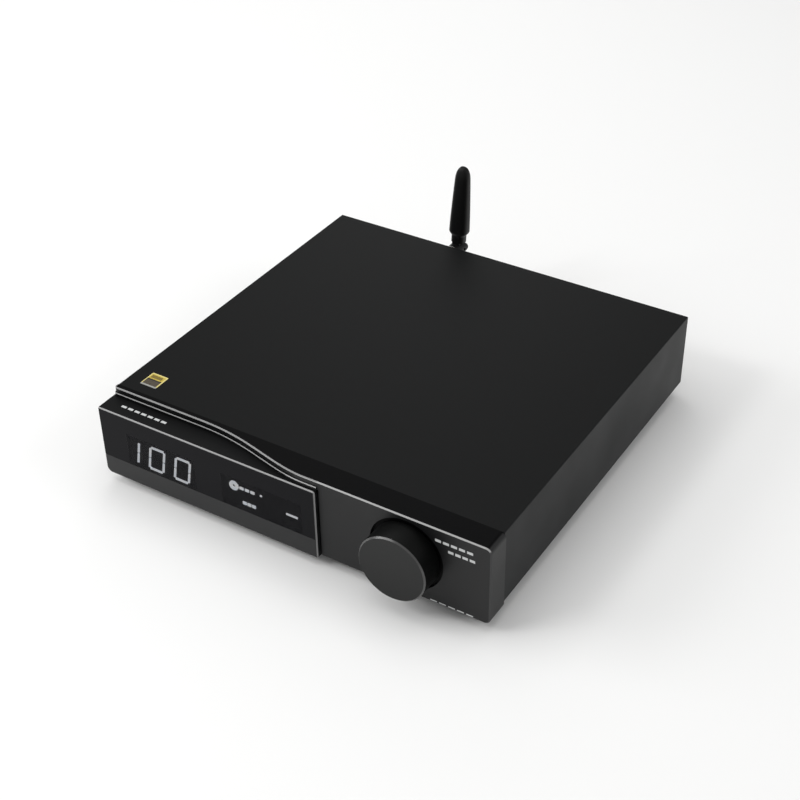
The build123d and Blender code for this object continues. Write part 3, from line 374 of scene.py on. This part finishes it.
def knob_radius(s):
    """Distance from the knob's axis."""
    across, above = from_axis(s, "knob")
    return s.math("SQRT", s.math("ADD", s.math("POWER", across, 2.0), s.math("POWER", above, 2.0)))


def panel_metal(name):
    """Front panel: plain face, painted shade making the knob recess near-black and the front of the
    S-shaped wall darker, and a painted highlight on the wall's bevel.
    """
    s = anodised(name, (0.0046, 0.0048, 0.0052), 0.42, highlight_colour=grey(0.33), specular=0.33,
                 side_highlight=0.10, top_specular=0.04)
    low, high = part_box("front_panel")
    _, y, z = s.facing()
    inner = low.y + BEHIND_FACE
    # painted shade: the knob's recess, behind the face, is painted near-black
    recess = s.math("LESS_THAN", knob_radius(s), KNOB_RECESS_SHADE)
    behind = s.math("GREATER_THAN", s.axes_of(s.place)[1], inner)
    recolour(s, s.product(recess, behind), (0.0012, 0.0012, 0.0013, 1), 0.6, 0.1)
    # painted shade: the front of the S-shaped wall beside the display is painted darker
    wall = part_of(s, (low.x - 1, inner, low.z), (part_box("display_bezel")[1].x, high.y, high.z))
    front = s.math("LESS_THAN", y, FRONT_FACING)
    recolour(s, s.product(wall, front), (0.0022, 0.0023, 0.0026, 1), 0.35, 0.22)
    # painted highlight: a brighter grey on the wall's bevel, where it leans up
    bevel = s.product(s.rising(y, *OFF_WALL_FRONT), s.rising(z, *LEANING), s.falling(y, *PAST_CHAMFER))
    recolour(s, s.product(wall, bevel), shade(grey(0.19)), HIGHLIGHT_ROUGHNESS)
    return s


def knob_metal(name):
    """Knob: satin face with fine turning rings, glossier towards its top, a painted highlight on its
    chamfer and painted shade on its near-black side.
    """
    s = grained(name, (0.0055, 0.0059, 0.0057), 0.36, grain=2400.0, relief=0.000006, spread=0.08,
                specular=0.3)
    y = s.facing()[1]
    low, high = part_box("knob")
    s.set(Specular_IOR_Level=s.remap(s.axes_of(s.place)[2], *KNOB_SPECULAR, low.z, high.z))
    rings = s.math("SINE", s.math("MULTIPLY", knob_radius(s), TURNING_RINGS))
    s.bump(s.math("ADD", s.math("MULTIPLY", rings, 0.5), s.noise(2400.0)), 0.000004)
    # painted shade: the knob's side is painted near-black
    recolour(s, s.rising(y, *KNOB_SIDE), (0.0012, 0.0014, 0.0013, 1), 0.5, 0.12)
    # painted highlight: a pale colour on the knob's front chamfer
    chamfer = s.product(s.rising(y, *KNOB_OFF_FACE), s.falling(y, *KNOB_PAST_CHAMFER))
    recolour(s, chamfer, shade(grey(0.05)), 0.25, 0.6)
    return s


def plated(name, colour, roughness):
    """Plated metal with a faint grain."""
    return grained(name, colour, roughness, grain=900.0, relief=0.000006, spread=0.05, metallic=1.0)


def moulded(name, colour, roughness, specular=0.4):
    """Injection-moulded plastic with a fine spark-eroded texture."""
    return grained(name, colour, roughness, grain=3200.0, relief=0.00001, spread=0.08, specular=specular)


def lit_segments(name):
    """Glowing white display segments, slightly uneven."""
    s = Shading(name)
    tone = s.remap(s.noise(500.0), 0.0, 1.0)
    colour = s.mix(tone, (0.86, 0.92, 1.0, 1), (1.0, 1.0, 1.0, 1))
    s.set(Base_Color=(0.8, 0.85, 0.9, 1), Roughness=0.5)
    s.set(Emission_Color=colour, Emission_Strength=SEGMENT_GLOW)
    return s


def over(s, node):
    """1 in front of and behind a CAD node and a margin round it, 0 elsewhere."""
    low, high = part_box(node)
    reach = Vector((WINDOW_MARGIN, 1.0, WINDOW_MARGIN))
    return part_of(s, low - reach, high + reach)


def tinted_window(name):
    """Polished acrylic, opaque black except over the lit segments, where it lets some light through."""
    s = Shading(name)
    haze = s.noise(60.0, 3.0)
    clear = s.math("MAXIMUM", over(s, "display_digits"), over(s, "display_icons"))
    tint = s.mix(haze, (0.0035, 0.0035, 0.0045, 1), (0.0045, 0.0045, 0.006, 1))
    s.set(Base_Color=tint, Roughness=s.remap(haze, 0.05, 0.09), Specular_IOR_Level=WINDOW_SPECULAR)
    s.set(Alpha=s.between(clear, 1.0, WINDOW_OPACITY))
    return s


def label_film(name):
    """Square label: gold frame and field at the back, then dark bands, and a silver strip at the front."""
    s = Shading(name)
    low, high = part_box("case_label")
    x, y, _ = s.axes_of(s.place)
    across = s.rising(x, low.x, high.x)
    back = s.rising(y, low.y, high.y)
    grain = s.noise(1500.0)
    gold = s.mix(s.remap(grain, 0.0, 1.0), *LABEL_GOLDS)
    colour = s.mix(s.math("LESS_THAN", back, LABEL_GOLD_BOTTOM), gold, LABEL_BLACK)
    colour = s.mix(s.math("LESS_THAN", back, LABEL_BROWN_TOP), colour, LABEL_BROWN)
    field = 1.0
    for axis, (first, last) in ((back, LABEL_FIELD_BACK), (across, LABEL_FIELD_ACROSS)):
        field = s.product(field, s.math("GREATER_THAN", axis, first), s.math("LESS_THAN", axis, last))
    colour = s.mix(field, colour, LABEL_FIELD)
    left = s.math("LESS_THAN", across, LABEL_FRAME_LEFT)
    right = s.math("GREATER_THAN", across, LABEL_FRAME_RIGHT)
    far = s.math("GREATER_THAN", back, LABEL_FRAME_BACK)
    colour = s.mix(s.math("MAXIMUM", s.math("MAXIMUM", left, right), far), colour, LABEL_FRAME)
    colour = s.mix(s.math("LESS_THAN", back, LABEL_SILVER_TOP), colour, LABEL_SILVER)
    s.set(Base_Color=colour, Roughness=s.remap(grain, 0.25, 0.4))
    s.bump(grain, 0.00001)
    return s


NICKEL = (0.62, 0.60, 0.57)
GLOSS_BLACK = (0.010, 0.010, 0.011)

# what makes the finish of each material slot
MAKERS = {
    # anodised finishes: the grey given after the roughness is the painted highlight on their front
    # chamfers, and their tops get painted shade
    "case_black": lambda n: anodised(
        n, (0.0090, 0.0097, 0.0100), 0.5, highlight_colour=grey(0.10), specular=0.2),
    "panel_black": panel_metal,
    "bezel_grey": lambda n: anodised(
        n, (0.0090, 0.0094, 0.0100), 0.4, highlight_colour=grey(0.27), specular=0.34, side_highlight=0.9),
    "knob_black": knob_metal,
    "window_tint": tinted_window,
    "lit_white": lit_segments,
    "black_plastic": lambda n: moulded(n, (0.012, 0.012, 0.0125), 0.5),
    "gloss_black_plastic": lambda n: moulded(n, GLOSS_BLACK, 0.25),
    "print_white": lambda n: grained(
        n, (0.55, 0.56, 0.56), 0.6, grain=3000.0, relief=0.000004, spread=0.1),
    "label_gold": label_film,
    "sheet_steel": lambda n: plated(n, (0.52, 0.52, 0.50), 0.38),
    "screw_black": lambda n: grained(
        n, grey(0.02), 0.35, grain=900.0, relief=0.00001, spread=0.2, metallic=0.6),
    "nickel": lambda n: plated(n, NICKEL, 0.22),
    "gold_plate": lambda n: plated(n, (0.80, 0.56, 0.20), 0.2),
    "foot_rubber": lambda n: grained(
        n, grey(0.012), 0.8, grain=1400.0, relief=0.00004, spread=0.2, specular=0.3),
    "rear_black": lambda n: grained(
        n, (0.014, 0.014, 0.015), 0.55, grain=1800.0, relief=0.00003, spread=0.15, specular=0.4),
    "board_black": lambda n: grained(
        n, (0.008, 0.012, 0.010), 0.35, grain=700.0, relief=0.00001, spread=0.3),
    "core_black": lambda n: grained(
        n, (0.02, 0.02, 0.022), 0.4, grain=800.0, relief=0.00003, spread=0.3, metallic=0.5),
    "can_black": lambda n: moulded(n, (0.012, 0.012, 0.03), 0.3),
    "chip_black": lambda n: moulded(n, grey(0.014), 0.6),
    "relay_white": lambda n: moulded(n, (0.5, 0.5, 0.48), 0.45),
    "wire_black": lambda n: moulded(n, grey(0.01), 0.5),
    "ribbon_white": lambda n: grained(
        n, (0.55, 0.55, 0.52), 0.5, grain=700.0, relief=0.00002, spread=0.15),
}

# phono sockets: centre in X in millimetres, and colour of the ring in the mouth
PHONO_COLOURS = {
    27.0: (0.55, 0.55, 0.52, 1),
    14.5: (0.42, 0.01, 0.008, 1),
    -31.0: (0.45, 0.13, 0.008, 1),
}


def phono_plastic(name):
    """Glossy insulators of the phono sockets: white and red for the pair, orange for the digital one."""
    s = moulded(name, GLOSS_BLACK, 0.25)
    low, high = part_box("phono_insulators")
    for centre, colour in PHONO_COLOURS.items():
        first = (centre * MM - PHONO_HALF, high.y - PHONO_MOUTH, low.z - 1)
        last = (centre * MM + PHONO_HALF, high.y + 1, high.z + 1)
        recolour(s, part_of(s, first, last), colour, 0.25)
    return s


def knurled(name):
    """Bright nut of the aerial with fine lengthwise knurls."""
    s = plated(name, NICKEL, 0.22)
    across, above = from_axis(s, "antenna_coupling")
    turn = s.math("MULTIPLY", s.math("ARCTAN2", above, across), AERIAL_KNURLS)
    s.bump(s.math("SINE", turn), 0.00006)
    return s


# nodes with a finish of their own, in place of their slot's
NODE_MAKERS = {
    "phono_insulators": phono_plastic,
    "antenna_coupling": knurled,
    "antenna_knuckle": lambda n: moulded(n, (0.003, 0.003, 0.0032), 0.45, 0.2),
    "display_module": lambda n: moulded(n, (0.0015, 0.0015, 0.0016), 0.6, 0.1),
}


def dress_cad_nodes():
    """Give each CAD node the finish made for it, or the one of its slot."""
    finished = {}
    for part in frame["record"]["subparts"]:
        node, slot = part["node"], part["material_slot"]
        look = node if node in NODE_MAKERS else slot
        if look not in finished:
            maker = NODE_MAKERS.get(look) or MAKERS[look]
            finished[look] = maker(look + "_look").material
        mesh = nodes[node].data
        mesh.materials.clear()
        mesh.materials.append(finished[look])


# ---------------------------------------------------------------- antenna blade

BLADE_LEAN = math.radians(3.2)
# sizes, each a width along X and a depth along Y, and heights above the hinge, in millimetres
NECK_SIZE = (7.0, 6.1)
SHOULDER_SIZE = (9.8, 7.7)
NECK_BOTTOM = 4.0
NECK_TOP = 7.4
SHOULDER = 10.0
DOME_START = 38.5
BLADE_TOP = 45.4
BLADE_TAPER = 0.33
TAPER_POWER = 1.3
DOME_POWER = 2.4
SECTION_POWER = 3.0
TONGUE_HALF = 2.05
TONGUE_RADIUS = 3.1
TONGUE_TOP = 4.3
PIN_HOLE = 1.05
# rings up the dome, the shoulder and the length between them, and where the dome's last ring lies
DOME_RINGS = 10
DOME_REACH = math.radians(84)
SHOULDER_RINGS = 8
LENGTH_RINGS = 12
# angles of the points round a ring, and each point's number with the next one's
AROUND = 40
ANGLES = [2 * math.pi * k / AROUND for k in range(AROUND)]
NEIGHBOURS = [(k, (k + 1) % AROUND) for k in range(AROUND)]
SHARP_EDGE = math.radians(40)


def steps(first, last, count):
    """Evenly spaced values after the first, up to the last."""
    return [first + (last - first) * k / count for k in range(1, count + 1)]


def blade_size(height):
    """Width and depth of the blade at a height: neck, soft shoulder, slow taper and dome."""
    rise = min(max((height - NECK_TOP) / (SHOULDER - NECK_TOP), 0.0), 1.0)
    swell = rise * rise * (3 - 2 * rise)
    along = max(height - SHOULDER, 0.0) / (BLADE_TOP - SHOULDER)
    past = max(height - DOME_START, 0.0) / (BLADE_TOP - DOME_START)
    scale = (1 - BLADE_TAPER * along ** TAPER_POWER) * (1 - past ** DOME_POWER) ** (1 / DOME_POWER)
    return [scale * (neck + swell * (wide - neck)) for neck, wide in zip(NECK_SIZE, SHOULDER_SIZE)]


def blade_heights():
    """Heights of the rings, closer together where the outline bends."""
    shoulder = steps(NECK_TOP, SHOULDER, SHOULDER_RINGS)
    length = steps(SHOULDER, DOME_START, LENGTH_RINGS)
    dome = [math.sin(angle) for angle in steps(0.0, DOME_REACH, DOME_RINGS)]
    heights = [NECK_BOTTOM, NECK_TOP] + shoulder + length
    return heights + [DOME_START + (BLADE_TOP - DOME_START) * part for part in dome]


def section_point(width, depth, angle):
    """Point of a rounded section at an angle."""
    x, y = math.cos(angle), math.sin(angle)
    reach = 2 / SECTION_POWER
    return math.copysign(abs(x) ** reach, x) * width / 2, math.copysign(abs(y) ** reach, y) * depth / 2


def blade_shell(b):
    """Rings up the blade, closed at both ends."""
    rings = []
    for height in blade_heights():
        size = blade_size(height)
        points = [section_point(*size, angle) for angle in ANGLES]
        rings.append([b.verts.new((x * MM, y * MM, height * MM)) for x, y in points])
    for lower, upper in zip(rings, rings[1:]):
        for k, m in NEIGHBOURS:
            b.faces.new((lower[k], lower[m], upper[m], upper[k]))
    b.faces.new(list(reversed(rings[0])))
    tip = b.verts.new((0, 0, BLADE_TOP * MM))
    for k, m in NEIGHBOURS:
        b.faces.new((rings[-1][k], rings[-1][m], tip))


def tongue_outline(angle):
    """Point of the tongue's outline: round below the hinge, straight above it."""
    y, z = math.cos(angle), math.sin(angle)
    if z <= 0:
        return y * TONGUE_RADIUS, z * TONGUE_RADIUS
    stretch = min(TONGUE_RADIUS / max(abs(y), 1e-6), TONGUE_TOP / z)
    return y * stretch, z * stretch


def blade_tongue(b):
    """Flat foot of the blade in the fork, with the hole of the hinge pin."""
    outline = [tongue_outline(angle) for angle in ANGLES]
    pin_hole = [(PIN_HOLE * math.cos(angle), PIN_HOLE * math.sin(angle)) for angle in ANGLES]
    loops = []
    for x in (-TONGUE_HALF, TONGUE_HALF):
        for points in (outline, pin_hole):
            loops.append([b.verts.new((x * MM, y * MM, z * MM)) for y, z in points])
    outer_a, hole_a, outer_b, hole_b = loops
    for k, m in NEIGHBOURS:
        b.faces.new((outer_a[k], hole_a[k], hole_a[m], outer_a[m]))
        b.faces.new((outer_b[m], hole_b[m], hole_b[k], outer_b[k]))
        b.faces.new((outer_a[m], outer_b[m], outer_b[k], outer_a[k]))
        b.faces.new((hole_a[k], hole_b[k], hole_b[m], hole_a[m]))


def antenna_blade():
    """Sculpted plastic whip with soft shoulders and a domed tip, in place of the CAD one."""
    b = bmesh.new()
    blade_shell(b)
    blade_tongue(b)
    bmesh.ops.recalc_face_normals(b, faces=b.faces)
    mesh = bpy.data.meshes.new("antenna_blade")
    b.to_mesh(mesh)
    b.free()
    mesh.polygons.foreach_set("use_smooth", [True] * len(mesh.polygons))
    mesh.set_sharp_from_angle(angle=SHARP_EDGE)
    blade = bpy.data.objects.new("antenna_blade", mesh)
    bpy.context.scene.collection.objects.link(blade)
    low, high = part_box("antenna_pin")
    blade.matrix_world = Matrix.Translation((low + high) / 2) @ Matrix.Rotation(BLADE_LEAN, 4, "Y")
    mesh.materials.append(moulded("antenna_blade_look", (0.0040, 0.0041, 0.0043), 0.42, 0.15).material)
    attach(blade, "antenna_arm")
    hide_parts("antenna_whip")


add_camera()
add_floor_and_light()
dress_cad_nodes()
antenna_blade()
